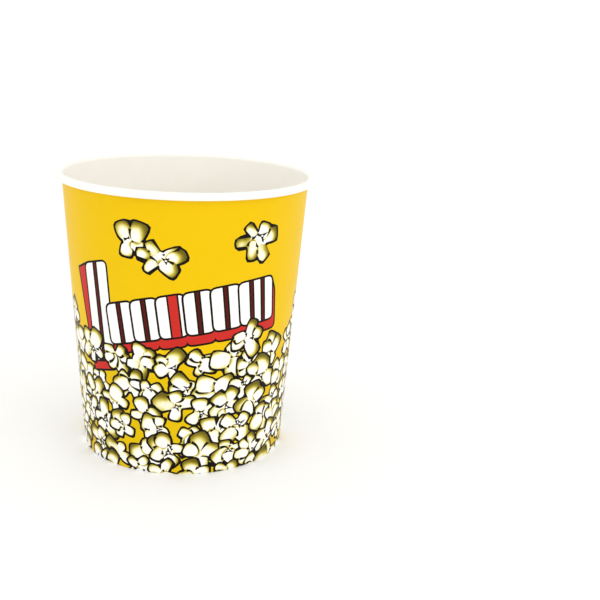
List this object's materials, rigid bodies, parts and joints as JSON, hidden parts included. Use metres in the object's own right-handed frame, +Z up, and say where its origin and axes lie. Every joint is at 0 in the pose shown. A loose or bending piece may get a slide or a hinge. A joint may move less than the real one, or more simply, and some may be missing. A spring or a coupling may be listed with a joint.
{
  "type": "empty paper popcorn tub",
  "caption": "Tapered round paperboard tub with a rolled rim, a lapped side seam and a recessed base, printed with a popcorn heap, that holds popcorn.",
  "frame": {"origin": "centre of the foot, on the plane that the tub stands on", "axes": "+Z up along the tub's axis, -Y towards the middle of the front of the print, -X towards the side seam"},
  "size_m": [0.1606, 0.1606, 0.176],
  "materials": {
    "printed_board": "offset print in warm yellow, black, red and olive under gloss varnish on coated white paperboard, plain white inside and on the rolled rim",
    "plain_board": "bleached white paperboard with a thin satin plastic coat"
  },
  "bodies": {
    "root": {"sidewall": "printed_board", "base_disc": "plain_board"}
  },
  "joints": []
}
